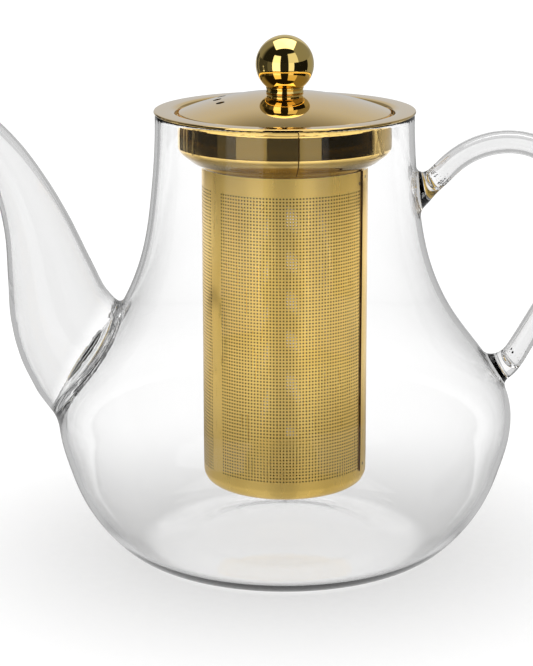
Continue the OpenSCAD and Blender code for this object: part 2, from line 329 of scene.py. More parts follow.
def surface_net(field, pitch, origin):
    """Vertices and quads of the zero surface of a field on a grid."""
    inside = field < 0
    near = [(i, j, k) for i in (0, 1) for j in (0, 1) for k in (0, 1)]
    cut = [n - 1 for n in field.shape]
    count = sum(inside[i:cut[0] + i, j:cut[1] + j, k:cut[2] + k].astype(np.int8) for i, j, k in near)
    cells = np.argwhere((count > 0) & (count < 8))
    index = np.full(count.shape, -1, np.int64)
    index[tuple(cells.T)] = np.arange(len(cells))
    value = np.stack([field[tuple((cells + c).T)] for c in near], 1)
    total, hits = np.zeros((len(cells), 3)), np.zeros(len(cells))
    for m, a in enumerate(near):
        for n, b in enumerate(near):
            if m < n and sum(abs(p - q) for p, q in zip(a, b)) == 1:
                crossed = (value[:, m] < 0) != (value[:, n] < 0)
                share = np.where(crossed, value[:, m] / np.where(crossed, value[:, m] - value[:, n], 1), 0)
                point = np.array(a) + share[:, None] * (np.array(b) - np.array(a))
                total += np.where(crossed[:, None], point, 0)
                hits += crossed
    quads = []
    for axis in range(3):
        u, v = (axis + 1) % 3, (axis + 2) % 3
        edges = np.argwhere(np.diff(inside, axis=axis))
        keep = (edges[:, [u, v]] > 0).all(1) & (edges[:, u] < cut[u]) & (edges[:, v] < cut[v])
        edges = edges[keep]
        ring = []
        for du, dv in ((-1, -1), (0, -1), (0, 0), (-1, 0)):
            cell = edges.copy()
            cell[:, u] += du
            cell[:, v] += dv
            ring.append(index[tuple(cell.T)])
        ring = np.stack(ring, 1)
        outward = inside[tuple(edges.T)]
        quads.append(np.where(outward[:, None], ring, ring[:, ::-1]))
    return origin + pitch * (cells + total / hits[:, None]), np.concatenate(quads)


def divide_long_edges(piece, longest, where):
    """Splits the edges longer than the limit in one region."""
    bm = bmesh.new()
    bm.from_mesh(piece.data)
    edges = [e for e in bm.edges if e.calc_length() > longest and all(where(v.co) for v in e.verts)]
    bmesh.ops.subdivide_edges(bm, edges=edges, cuts=1, use_grid_fill=False)
    bmesh.ops.triangulate(bm, faces=bm.faces)
    bm.to_mesh(piece.data)
    bm.free()


def on_thin_tube(point):
    """True on the handle and on the spout's upper half."""
    return point[0] > 46 and point[2] > 52 or point[0] < -74 and point[2] > 70


def glass_mesh(glass, pitch=0.8, share=0.16):
    """Meshes the half with y above 0, mirrors it, thins it, and takes its normals from the field."""
    low, high = np.array([-122.0, -0.5 * pitch, -1.6]), np.array([104.0, 79.0, 161.0])
    axes = [np.arange(low[i], high[i] + pitch, pitch) for i in range(3)]
    field = np.empty([len(a) for a in axes], np.float32)
    slab = 8
    for i in range(0, len(axes[0]), slab):
        grid = np.meshgrid(axes[0][i:i + slab], axes[1], axes[2], indexing="ij")
        field[i:i + slab] = glass(*[g.ravel() for g in grid]).reshape(grid[0].shape)
    verts, quads = surface_net(field, pitch, low)
    seam = np.abs(verts[:, 1]) < 1e-6
    verts = glass.onto_surface(verts)
    verts[seam, 1] = 0
    twin = np.where(seam, np.arange(len(verts)), len(verts) + np.cumsum(~seam) - 1)
    verts = np.r_[verts, verts[~seam] * [1, -1, 1]]
    quads = np.r_[quads, twin[quads][:, ::-1]]
    pot = mesh_object("glass_pot", verts, quads)
    thin = pot.modifiers.new("thin", "DECIMATE")
    thin.ratio = share
    apply_modifiers(pot)
    divide_long_edges(pot, 0.62, on_thin_tube)
    points = glass.onto_surface(vertices_of(pot), 2)
    normals = glass.slope(points)
    pot.data.vertices.foreach_set("co", points.astype(np.float32).ravel())
    pot.data.update()
    pot.data.shade_smooth()
    pot.data.normals_split_custom_set_from_vertices(normals / np.linalg.norm(normals, axis=1)[:, None])
    return pot


# ---- mesh helpers; meshes are made in millimetres and scaled once, when they are dressed ----

def mesh_object(name, verts, faces):
    mesh = bpy.data.meshes.new(name)
    mesh.from_pydata(np.asarray(verts, float).tolist(), [], [list(map(int, f)) for f in faces])
    made = bpy.data.objects.new(name, mesh)
    bpy.context.scene.collection.objects.link(made)
    return made


def vertices_of(piece):
    co = np.empty(len(piece.data.vertices) * 3)
    piece.data.vertices.foreach_get("co", co)
    return co.reshape(-1, 3)


def apply_modifiers(piece):
    graph = bpy.context.evaluated_depsgraph_get()
    made = bpy.data.meshes.new_from_object(piece.evaluated_get(graph))
    piece.modifiers.clear()
    piece.data = made


def revolve(name, outline, segments=256, crease=30):
    """A solid of revolution. The outline runs anticlockwise in (r, z) and closes on itself."""
    outline = np.array(outline)
    count = len(outline)
    verts = [(r * math.cos(a), r * math.sin(a), z) for a in full_turn(segments) for r, z in outline]
    faces = [(i * count + j, ((i + 1) % segments) * count + j,
              ((i + 1) % segments) * count + (j + 1) % count, i * count + (j + 1) % count)
             for i in range(segments) for j in range(count)]
    made = mesh_object(name, verts, faces)
    weld_and_shade(made, crease)
    return made


def ring_faces(rings, sides):
    """The quads between rings of points, and a cap on each end."""
    last = (rings - 1) * sides
    walls = [[k + i, k + (i + 1) % sides, k + sides + (i + 1) % sides, k + sides + i]
             for k in range(0, last, sides) for i in range(sides)]
    return walls + [list(range(sides - 1, -1, -1)), [last + i for i in range(sides)]]


def weld_and_shade(piece, crease=30):
    """Joins points that meet, drops empty faces, and shades smooth but for real edges."""
    bm = bmesh.new()
    bm.from_mesh(piece.data)
    bmesh.ops.remove_doubles(bm, verts=bm.verts, dist=1e-4)
    bmesh.ops.dissolve_degenerate(bm, edges=bm.edges, dist=1e-5)
    bmesh.ops.recalc_face_normals(bm, faces=bm.faces)
    bm.to_mesh(piece.data)
    bm.free()
    piece.data.shade_smooth()
    piece.data.set_sharp_from_angle(angle=math.radians(crease))


def set_normals(piece, rule):
    """Gives each face corner the normal that rule(point, face normal) names, or leaves the face's own."""
    mesh = piece.data
    points = vertices_of(piece)
    normals = np.empty((len(mesh.loops), 3))
    for face in mesh.polygons:
        own = np.array(face.normal)
        for loop in face.loop_indices:
            normals[loop] = rule(points[mesh.loops[loop].vertex_index], own)
    mesh.normals_split_custom_set(normals.tolist())


def dress(piece, material, body, slot, *nodes):
    """Scales a piece to metres, gives it its material, and puts it on its body in place of CAD nodes."""
    piece.data.transform(Matrix.Scale(MM, 4))
    layers = np.zeros(len(piece.data.polygons), np.int32)
    piece.data.polygons.foreach_get("material_index", layers)
    piece.data.materials.clear()
    for layer in material if isinstance(material, tuple) else (material,):
        piece.data.materials.append(layer)
    piece.data.polygons.foreach_set("material_index", layers)
    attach(piece, body)
    if nodes:
        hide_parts(*nodes)


# ---- infuser ----

BEAD = 0.5
SEAT_LIP = 0.7
GROOVE = 1.2
COLLAR_R = 35.8
COLLAR_WALL_END = FLANGE_TOP - 11.5
LIP_ROLL = (2.2, 1.4)
SEAM_AT = 7.0


def collar_side():
    """The outer line of the collar's wall and funnel, downwards."""
    return bezier_line([(COLLAR_R, SEAT - GROOVE - 0.9, -90), (COLLAR_R, COLLAR_WALL_END, -90),
                        (COLLAR_R - 3.2, FLANGE_TOP - 15.6, -140),
                        (BASKET_R + 1.6, COLLAR_END + 1, -165)], 14)


def collar_outline():
    """The section of the collar: flange with its rolled edge, seat, straight wall, funnel and hem."""
    outside = collar_side()
    inside = moved_sideways(outside[::-1], SHEET)
    lip, under = COLLAR_R + SEAT_LIP, SEAT - GROOVE - 0.5
    bead_low = -math.degrees(math.asin((SHEET - BEAD) / BEAD))
    return (arc((FLANGE_R - BEAD, FLANGE_TOP - BEAD), BEAD, 90, bead_low, 10)[::-1]
            + [np.array([lip + LIP_ROLL[0], FLANGE_TOP - LIP_ROLL[1]]) + LIP_ROLL * unit(a)
               for a in np.linspace(90, 180, 16)]
            + arc((lip - 0.3, SEAT - GROOVE + 0.3), 0.3, 0, -90, 5)
            + arc((LID_R + 0.2, SEAT - GROOVE + 0.3), 0.3, -90, -170, 5) + [(LID_R - 0.1, SEAT)]
            + arc((COLLAR_R - SHEET + 0.5, SEAT - 0.5), 0.5, 90, 180, 8)
            + list(inside[::-1][1:])
            + [(BASKET_R + 0.02, COLLAR_END + 0.15), (BASKET_R + 0.15, COLLAR_END)]
            + [(BASKET_R + 0.55, COLLAR_END), (BASKET_R + 0.75, COLLAR_END + 0.25)]
            + list(outside[::-1])
            + arc((COLLAR_R + 0.4, under - 0.4), 0.4, 180, 90, 6)
            + arc((lip + SHEET - 0.4, under + 0.4), 0.4, -90, 0, 6)
            + [(lip + SHEET, FLANGE_TOP - SHEET)])


def collar_seam():
    """The weld bead that runs down the collar's wall and funnel."""
    half_width, height, sides = 0.19, 0.09, 12
    line = np.array(collar_side())
    along = np.gradient(line, axis=0)
    along /= np.hypot(*along.T)[:, None]
    out = unit(SEAM_AT + FRONT)
    beside = np.array([-out[1], out[0], 0])
    verts = []
    for (r, z), (dr, dz) in zip(line, along):
        for a in full_turn(sides):
            lift = height * math.sin(a)
            reach = r - lift * dz
            point = np.array([out[0] * reach, out[1] * reach, z + lift * dr])
            verts.append(point + half_width * math.cos(a) * beside)
    made = mesh_object("collar_weld", verts, ring_faces(len(line), sides))
    weld_and_shade(made, 50)
    return made


# ---- the basket; its angles are in degrees from the front towards +X ----

HOLE = 0.5
BACK_HOLE = 0.36
ROW_PITCH = 1.104
ROWS = 88
FIRST_ROW = BASKET_BOTTOM + 7.45
HOLE_PITCH = 360 / 161
LAP_AT = 64.6
LAP_PROUD = 0.52
BASKET_SHEET = 0.5
SHEET_LOW = BASKET_BOTTOM + 6.2
SHEET_HIGH = COLLAR_END + 2


def sheet_wall(name, start, end, columns, radius_at, hole):
    """A curved sheet between two angles, with square holes at the given columns."""
    rows = FIRST_ROW + ROW_PITCH * np.arange(ROWS)
    half_a = math.degrees(0.5 * hole / BASKET_R)
    angles, open_a = cut_line(start, end, columns, half_a, longest=2.3)
    heights, open_z = cut_line(SHEET_LOW, SHEET_HIGH, rows, hole / 2, longest=6.0)
    na, nz = len(angles), len(heights)
    verts = []
    for inset in (0.0, BASKET_SHEET):
        for a in angles:
            r, way = radius_at(a) - inset, unit(a + FRONT)
            verts += [(r * way[0], r * way[1], z) for z in heights]
    solid = ~(open_a[:, None] & open_z[None])

    def at(skin, i, j):
        return (skin * na + i) * nz + j

    # material 0 on the outer skin; material 1, the painted shade, on the inner skin, the hole walls and the
    # cut edges
    faces, shaded = [], []
    beyond = ((0, -1), (1, 0), (0, 1), (-1, 0))
    for i in range(na - 1):
        for j in range(nz - 1):
            if solid[i, j]:
                ring = [(i, j), (i + 1, j), (i + 1, j + 1), (i, j + 1)]
                faces.append([at(0, *c) for c in ring])
                faces.append([at(1, *c) for c in ring[::-1]])
                shaded += [0, 1]
                for p, q, (di, dj) in zip(ring, ring[1:] + ring[:1], beyond):
                    u, v = i + di, j + dj
                    if not (0 <= u < na - 1 and 0 <= v < nz - 1) or not solid[u, v]:
                        faces.append([at(0, *q), at(0, *p), at(1, *p), at(1, *q)])
                        shaded.append(1)
    made = mesh_object(name, verts, faces)
    made.data.polygons.foreach_set("material_index", shaded)
    drop_loose(made)
    made.data.shade_smooth()
    set_normals(made, round_wall_normal)
    unroll(made)
    return made


def cut_line(start, end, centres, half, longest):
    """Points that divide a line, with a gap of 2 x half at each centre, and which stretches are gaps."""
    marks = [start] + [m for c in centres for m in (c - half, c + half)] + [end]
    points, is_open = [start], []
    for n, (a, b) in enumerate(zip(marks, marks[1:])):
        pieces = 1 if n % 2 else max(1, math.ceil((b - a) / longest))
        points += [a + (b - a) * (k + 1) / pieces for k in range(pieces)]
        is_open += [bool(n % 2)] * pieces
    return np.array(points), np.array(is_open)


def drop_loose(piece):
    bm = bmesh.new()
    bm.from_mesh(piece.data)
    bmesh.ops.delete(bm, geom=[v for v in bm.verts if not v.link_faces], context="VERTS")
    bm.to_mesh(piece.data)
    bm.free()


def round_wall_normal(point, own):
    """The true normal of an upright round wall, and the face's own on hole walls and edges."""
    radial = np.array([point[0], point[1], 0]) / math.hypot(point[0], point[1])
    lean = own @ radial
    return radial * np.sign(lean) if abs(lean) > 0.85 else own


def unroll(piece):
    """A map of the sheet: the outer skin beside the inner one, each unrolled by angle and height."""
    mesh = piece.data
    points = vertices_of(piece)
    angle = np.arctan2(points[:, 1], points[:, 0]) / (2 * np.pi)
    angle = (angle - angle.min()) if angle.max() - angle.min() < 0.6 else (angle - FRONT / 360) % 1
    low, high = points[:, 2].min(), points[:, 2].max()
    inner = np.hypot(points[:, 0], points[:, 1]) < BASKET_R - 0.25
    u = 0.49 * angle / max(angle.max(), 1e-6) + 0.505 * inner
    v = 0.01 + 0.98 * (points[:, 2] - low) / (high - low)
    layer = mesh.uv_layers.new(name="OFBake")
    index = np.empty(len(mesh.loops), int)
    mesh.loops.foreach_get("vertex_index", index)
    layer.data.foreach_set("uv", np.stack([u[index], v[index]], 1).astype(np.float32).ravel())


def field_columns(first, last):
    """The angles of the columns of holes from the first to the last."""
    return first + HOLE_PITCH * np.arange(int((last - first) / HOLE_PITCH + 0.5) + 1)


def lapped_radius(angle):
    """The sheet's radius: its end on the right rides over the end that lies under it."""
    fall = np.clip((angle - LAP_AT) / 14, 0, 1)
    return BASKET_R + LAP_PROUD * (1 - fall ** 2 * (3 - 2 * fall))


def plain_radius(angle):
    """The sheet's radius where nothing overlaps."""
    return BASKET_R


def basket_sheet():
    """The perforated sheet in four stretches between its blank bands, with finer holes at the back."""
    # name, from, to, first and last column of holes, radius, hole
    stretches = (("front", -54.0, LAP_AT + 1.5, -47.8, 62.3, plain_radius, HOLE),
                 ("right", LAP_AT, 180.0, 91, 178, lapped_radius, BACK_HOLE),
                 ("back", 180.0, 254.0, 193, 250, plain_radius, BACK_HOLE),
                 ("left", 254.0, 306.0, 256.5, 299, plain_radius, HOLE))
    return [sheet_wall("basket_sheet_" + name, start, end, field_columns(first, last), radius_at, hole)
            for name, start, end, first, last, radius_at, hole in stretches]


def basket_cup():
    """The basket's base: a short wall, a rounded edge and a floor with holes."""
    edge, t, floor_r = 4.5, BASKET_SHEET, 21.5
    outline = ([(floor_r, BASKET_BOTTOM)]
               + arc((BASKET_R - edge, BASKET_BOTTOM + edge), edge, -90, 0, 24)
               + [(BASKET_R, SHEET_LOW), (BASKET_R - t, SHEET_LOW)]
               + arc((BASKET_R - edge, BASKET_BOTTOM + edge), edge - t, 0, -90, 24)
               + [(floor_r, BASKET_BOTTOM + t)])
    cup = revolve("basket_cup", outline, 192)
    return cup, perforated_disc("basket_floor", floor_r, BASKET_BOTTOM, t, pitch=1.5, hole=0.8, border=1.6)


def perforated_disc(name, radius, z, thickness, pitch, hole, border):
    """A flat disc with round holes on a hexagonal grid."""
    bm = bmesh.new()

    def ring(cx, cy, r, count):
        verts = [bm.verts.new((cx + r * math.cos(a), cy + r * math.sin(a), z))
                 for a in full_turn(count)]
        return [bm.edges.new((a, b)) for a, b in zip(verts, verts[1:] + verts[:1])]

    edges = ring(0, 0, radius, 192)
    reach = int(radius / pitch) + 1
    for j in range(-reach, reach + 1):
        for i in range(-reach, reach + 1):
            cx, cy = pitch * (i + 0.5 * (j % 2)), pitch * j * math.sqrt(3) / 2
            if math.hypot(cx, cy) < radius - border:
                edges += ring(cx, cy, hole / 2, 8)
    bmesh.ops.triangle_fill(bm, edges=edges, use_beauty=True)
    bmesh.ops.recalc_face_normals(bm, faces=bm.faces)
    floor = mesh_object(name, [], [])
    bm.to_mesh(floor.data)
    bm.free()
    solid = floor.modifiers.new("thickness", "SOLIDIFY")
    solid.thickness = thickness
    solid.offset = 0
    apply_modifiers(floor)
    floor.data.transform(Matrix.Translation((0, 0, thickness / 2)))
    return floor


def spot_weld(angle, z, radius, sides=20):
    """A low round dimple of weld metal on the basket."""
    rings = [(0.62, -0.15), (0.55, 0.05), (0.38, 0.1), (0.18, 0.05)]  # radius and height of each
    out, up = np.array([*unit(angle + FRONT), 0]), np.array([0, 0, 1])
    along = np.array([-out[1], out[0], 0])
    verts = [radius * out + z * up + proud * out + wide * (math.cos(a) * along + math.sin(a) * up)
             for wide, proud in rings for a in full_turn(sides)]
    return verts, ring_faces(len(rings), sides)


def seam_welds():
    """The spot welds beside the lap, near its top and its bottom."""
    verts, faces = [], []
    for angle, z in ((LAP_AT - 3.0, SHEET_HIGH - 6.2), (LAP_AT + 4.6, SHEET_HIGH - 4.4),
                     (LAP_AT + 4.6, SHEET_LOW + 2.2)):
        radius = lapped_radius(angle) if angle > LAP_AT else BASKET_R
        more, rings = spot_weld(angle, z, radius)
        faces += [[i + len(verts) for i in face] for face in rings]
        verts += more
    made = mesh_object("basket_welds", verts, faces)
    weld_and_shade(made, 50)
    return made


# ---- lid ----

VENT_R = 1.45
VENTS_OUT = 22.5  # from the axis
VENT_TURNS = (161, 180, 199)


def dome_outline():
    """The section of the dome with its rounded edge, and the screw's hole at the axis."""
    bore, round_r = 2.2, 0.35
    edge = math.degrees(math.asin((LID_R - round_r) / DOME_SPHERE))
    inner_edge = math.degrees(math.acos((SEAT - DOME_CENTRE + 0.25) / (DOME_SPHERE - DOME_T)))
    start = math.degrees(math.asin(bore / DOME_SPHERE))
    centre = (0, DOME_CENTRE)
    corner = np.array(centre) + (DOME_SPHERE - round_r) * unit(90 - edge)
    return (arc(centre, DOME_SPHERE - DOME_T, 90 - start, 90 - inner_edge, 60)
            + [(LID_R - 0.9, SEAT), (LID_R - 0.2, SEAT), (LID_R, SEAT + 0.2)]
            + arc(corner, round_r, 0, 90 - edge, 8)
            + arc(centre, DOME_SPHERE, 90 - edge, 90 - start, 60)[1:])


def lid_dome():
    """The dome with its three vent holes, and normals taken from its true sphere."""
    dome = revolve("lid_dome_skin", dome_outline(), 288)
    above = DOME_TOP + 1
    middles = [unit(turn) * VENTS_OUT for turn in VENT_TURNS]
    cutters = []
    for middle in middles:
        cutter = revolve("vent", [(0, SEAT), (VENT_R, SEAT), (VENT_R, above), (0, above)], 40)
        cutter.data.transform(Matrix.Translation((*middle, 0)))
        cutters.append(cutter)
        hole = dome.modifiers.new("vent", "BOOLEAN")
        hole.operation = "DIFFERENCE"
        hole.solver = "EXACT"
        hole.object = cutter
    apply_modifiers(dome)
    for cutter in cutters:
        bpy.data.objects.remove(cutter)
    dome.data.shade_smooth()
    # the vent walls take material 1, the darker gold, as painted shade
    for face in dome.data.polygons:
        to_vent = min(np.linalg.norm(np.array(face.center[:2]) - middle) for middle in middles)
        face.material_index = int(to_vent < VENT_R + 0.02)
    centre = np.array([0, 0, DOME_CENTRE])

    def rule(point, own):
        away = (point - centre) / np.linalg.norm(point - centre)
        lean = own @ away
        off_skin = min(abs(np.linalg.norm(point - centre) - r)
                       for r in (DOME_SPHERE, DOME_SPHERE - DOME_T))
        return away * np.sign(lean) if abs(lean) > 0.985 and off_skin < 0.02 else own
    set_normals(dome, rule)
    return dome


def skirt_outline():
    r, t = SKIRT_HIGH[0], 0.8
    top = DOME_CENTRE + math.sqrt((DOME_SPHERE - DOME_T) ** 2 - r ** 2)
    return ([(r - t, SKIRT_LOW[2] + 0.4)]
            + arc((r - t / 2, SKIRT_LOW[2] + t / 2), t / 2, 180, 360, 12)
            + [(r, top - 0.05), (r - t, top + 0.2)])


def ball_outline():
    """The ball, cut flat where it sits on its neck, with the bore for the threaded insert."""
    insert_r, insert_h, edge = 3.45, 9.6, 0.25
    flat = BALL_LOW[2]
    cut = math.degrees(math.asin((flat - BALL_Z) / BALL_R))
    return ([(insert_r, flat), (NECK_R - edge, flat)]
            + arc((0, BALL_Z), BALL_R, cut + 1.2, 90, 90)
            + [(0, flat + insert_h), (insert_r, flat + insert_h)])


def neck_outline():
    """The neck: a short drum with softened edges, waisted a little."""
    bore, high = 2.25, NECK_HIGH[2]
    seat = DOME_CENTRE + math.sqrt(DOME_SPHERE ** 2 - NECK_R ** 2)
    return ([(bore, DOME_TOP), (NECK_R - 0.3, seat + 0.02)]
            + arc((NECK_R - 0.3, seat + 0.35), 0.3, -60, 30, 5)
            + [(NECK_R - 0.25, (seat + high) / 2)]
            + arc((NECK_R - 0.3, high - 0.3), 0.3, -20, 60, 5) + [(bore, high)])


# ---- materials ----

def preset(node, **values):
    """Sets sockets of a node; an underscore in a name stands for a space."""
    for name, value in values.items():
        node.inputs[name.replace("_", " ")].default_value = value


class Nodes:
    """Short calls for building a node tree."""

    def __init__(self, tree):
        self.tree = tree
        tree.nodes.clear()

    def add(self, kind, **settings):
        node = self.tree.nodes.new(kind)
        for name, value in settings.items():
            setattr(node, name, value)
        return node

    def link(self, source, target):
        self.tree.links.new(source, target)

    def place(self):
        """The object's own coordinates, in metres."""
        return self.add("ShaderNodeTexCoord").outputs["Object"]

    def split(self, vector):
        """The X, Y and Z of a vector."""
        node = self.add("ShaderNodeSeparateXYZ")
        self.link(vector, node.inputs[0])
        return node.outputs

    def noise(self, scale, detail=3, stretch=(1, 1, 1)):
        """Noise in the object's own space, stretched by per-axis scales."""
        mapping = self.add("ShaderNodeMapping")
        preset(mapping, Scale=stretch)
        noise = self.add("ShaderNodeTexNoise")
        preset(noise, Scale=scale, Detail=detail, Roughness=0.55)
        self.link(self.place(), mapping.inputs["Vector"])
        self.link(mapping.outputs["Vector"], noise.inputs["Vector"])
        return noise.outputs["Fac"]

    def ramp(self, value, low, high, to_low=0.0, to_high=1.0):
        """A value carried smoothly from one range to another."""
        node = self.add("ShaderNodeMapRange", interpolation_type="SMOOTHSTEP")
        preset(node, From_Min=low, From_Max=high, To_Min=to_low, To_Max=to_high)
        self.link(value, node.inputs["Value"])
        return node.outputs["Result"]

    def maths(self, operation, a, b=None):
        node = self.add("ShaderNodeMath", operation=operation)
        for socket, value in zip(node.inputs, (a, b)):
            if isinstance(value, (int, float)):
                socket.default_value = value
            elif value is not None:
                self.link(value, socket)
        return node.outputs[0]

    def times(self, a, b):
        return self.maths("MULTIPLY", a, b)

    def minus(self, a, b):
        return self.maths("SUBTRACT", a, b)

    def bump(self, height, strength, distance):
        node = self.add("ShaderNodeBump")
        preset(node, Strength=strength, Distance=distance)
        self.link(height, node.inputs["Height"])
        return node.outputs["Normal"]

    def mix(self, share, a, b):
        node = self.add("ShaderNodeMix", data_type="RGBA")
        self.link(share, node.inputs["Factor"])
        preset(node, A=(*a, 1), B=(*b, 1))
        return node.outputs["Result"]


def new_material(name, kind=Nodes):
    """A material with a Principled shader linked to its output, and its nodes."""
    material = bpy.data.materials.new(name)
    material.use_nodes = True
    nodes = kind(material.node_tree)
    shader = nodes.add("ShaderNodeBsdfPrincipled")
    out = nodes.add("ShaderNodeOutputMaterial")
    nodes.link(shader.outputs["BSDF"], out.inputs["Surface"])
    return material, nodes, shader, out


def painted_tube_shade(nodes):
    """Clear on the bulb and a trace greyer on the drawn tubes of spout and handle, as painted shade."""
    belly_r, belly_z, neck_r, taper, fade = 0.080, 0.048, 0.048, 0.57, 0.006
    place = nodes.split(nodes.place())
    above = nodes.maths("MAXIMUM", nodes.minus(place["Z"], belly_z), 0.0)
    bulb = nodes.maths("MAXIMUM", nodes.minus(belly_r, nodes.times(above, taper)), neck_r)
    beyond = nodes.minus(nodes.maths("ABSOLUTE", place["X"]), bulb)
    return nodes.mix(nodes.ramp(beyond, 0.0, fade), (0.972, 0.972, 0.972), (0.89, 0.89, 0.89))


def glass_material():
    """Borosilicate glass: clear, a trace darker along long paths, with the slow ripple of blown ware."""
    material, nodes, shader, out = new_material("clear_glass")
    preset(shader, IOR=1.47, Specular_Tint=(0.3, 0.3, 0.3, 1), Transmission_Weight=1.0, Roughness=0.0)
    nodes.link(nodes.bump(nodes.noise(30, 1, (1, 1, 0.35)), 0.1, 0.0005), shader.inputs["Normal"])
    # spout and handle greyed as painted shade
    nodes.link(painted_tube_shade(nodes), shader.inputs["Base Color"])
    tint = nodes.add("ShaderNodeVolumeAbsorption")
    preset(tint, Color=(0.5, 0.53, 0.52, 1), Density=5.0)
    nodes.link(tint.outputs["Volume"], out.inputs["Volume"])
    return material


def metal(name, light, deep, roughness, grain=700, stretch=(1, 1, 1), grain_depth=0.0, smear=0.0, coat=0.0,
          painted_shade_heights=None):
    """Plated metal: colour that drifts between two tones, fine grain in gloss and surface, and a lacquer.
    smear is how much rougher its faint marks are. Between the two heights in painted_shade_heights the
    colour rises from painted shade to full strength."""
    material, nodes, shader, _ = new_material(name)
    preset(shader, Metallic=1.0, Coat_Weight=coat, Coat_Roughness=roughness[0])
    colour = nodes.mix(nodes.ramp(nodes.noise(22), 0.35, 0.65), light, deep)
    # painted shade: the colour is scaled down towards the lower height
    if painted_shade_heights:
        strong = nodes.ramp(nodes.split(nodes.place())["Z"], *painted_shade_heights, 0.3, 1.0)
        scaled = nodes.add("ShaderNodeVectorMath", operation="SCALE")
        nodes.link(colour, scaled.inputs[0])
        nodes.link(strong, scaled.inputs["Scale"])
        colour = scaled.outputs[0]
    nodes.link(colour, shader.inputs["Base Color"])
    fine = nodes.noise(grain, 2, stretch)
    spread = nodes.ramp(fine, 0.3, 0.7, *roughness)
    marks = nodes.ramp(nodes.noise(90, 4), 0.5, 0.75, 0.0, smear)
    nodes.link(nodes.maths("ADD", spread, marks), shader.inputs["Roughness"])
    nodes.link(nodes.bump(fine, grain_depth, 0.00002), shader.inputs["Normal"])
    return material


# ---- studio ----

ROOM = 1.04  # how bright the room looks to the eye
# What a reflection sees low in the room, by azimuth in degrees from the camera towards +X:
# from, to, brightness seen from outside the pot, brightness seen from inside it.
SCREEN = [(-146, -131, 0.05, 0.02), (-131, -129, 0.5, 0.4), (-129, -123, 0.05, 0.02),
          (-123, -121.5, 0.5, 0.4), (-121.5, -72, 0.05, 0.02), (-72, -50, 0.12, 0.08),
          (-50, -18, 1.8, 0.33), (-18, 15, 0.02, 0.06), (15, 37, 1.1, 0.28),
          (37, 102, 0.01, 0.01), (102, 160, 0.33, 0.45)]
SCREEN_RADIUS = 0.45
SCREEN_HEIGHT = 0.25
SCREEN_FOOT = 0.044  # the screen's lower end as seen from inside the pot
# The same above the screen: from, to, lowest, highest elevation, brightness.
ROOM_PANELS = [(-50, -18, -20, 37, 1.8), (15, 57, -20, 46, 1.1), (57, 160, 5, 90, 0.33)]
# What a reflection inside the pot sees on the floor, by azimuth: from, to, brightness.
FLOOR_PANELS = [(-180, -50, 0.95), (-50, -18, 1.1), (-18, 15, 0.82), (15, 45, 1.15), (45, 180, 0.95)]
# The softbox overhead: from, to sideways, from, to in depth, in degrees off the vertical, and brightness.
OVERHEAD = (-30, 30, -19, 37, 2.5)
# How bright a glass wall's rim is made, from the far side and from the camera's side.
GLASS_EDGE_LIGHT, GLASS_FRONT_LIGHT = 0.62, 0.42
DARKEST = 0.02


class StudioNodes(Nodes):
    """Node calls that paint light by direction."""

    def window(self, value, low, high, soft=1.0):
        """1 between two angles in degrees and 0 outside them, with soft edges."""
        rise = self.sweep(value, low - soft, low + soft, 0.0, 1.0)
        fall = self.sweep(value, high - soft, high + soft, 1.0, 0.0)
        return self.times(rise, fall)

    def sweep(self, value, low, high, to_low, to_high):
        """A ramp between two angles in degrees."""
        return self.ramp(value, math.radians(low), math.radians(high), to_low, to_high)

    def total(self, values):
        result = values[0]
        for value in values[1:]:
            result = self.maths("ADD", result, value)
        return result

    def blend(self, share, a, b):
        """a where share is 0 and b where it is 1."""
        return self.total([self.times(a, self.minus(1.0, share)), self.times(b, share)])

    def path(self):
        """1 or 0 each: a reflection, one seen through a single glass wall, and one through more."""
        path = self.add("ShaderNodeLightPath")
        mirrored = self.maths("GREATER_THAN", path.outputs["Glossy Depth"], 0.5)
        crossed = path.outputs["Transmission Depth"]
        within = self.times(mirrored, self.maths("GREATER_THAN", crossed, 2.5))
        edge = self.times(mirrored, self.maths("GREATER_THAN", crossed, 0.5))
        return mirrored, self.minus(edge, within), within

    def edge_light(self, turned):
        """What the rim of a glass wall bends into view."""
        return self.sweep(turned, 60, 100, GLASS_FRONT_LIGHT, GLASS_EDGE_LIGHT)

    def directions(self, vector):
        """Azimuth from the camera's side towards +X, its size either way, elevation, and X, Y, Z."""
        split = self.split(vector)
        azimuth = self.maths("ARCTAN2", split["X"], self.times(split["Y"], -1.0))
        return azimuth, self.maths("ABSOLUTE", azimuth), self.maths("ARCSINE", split["Z"]), split


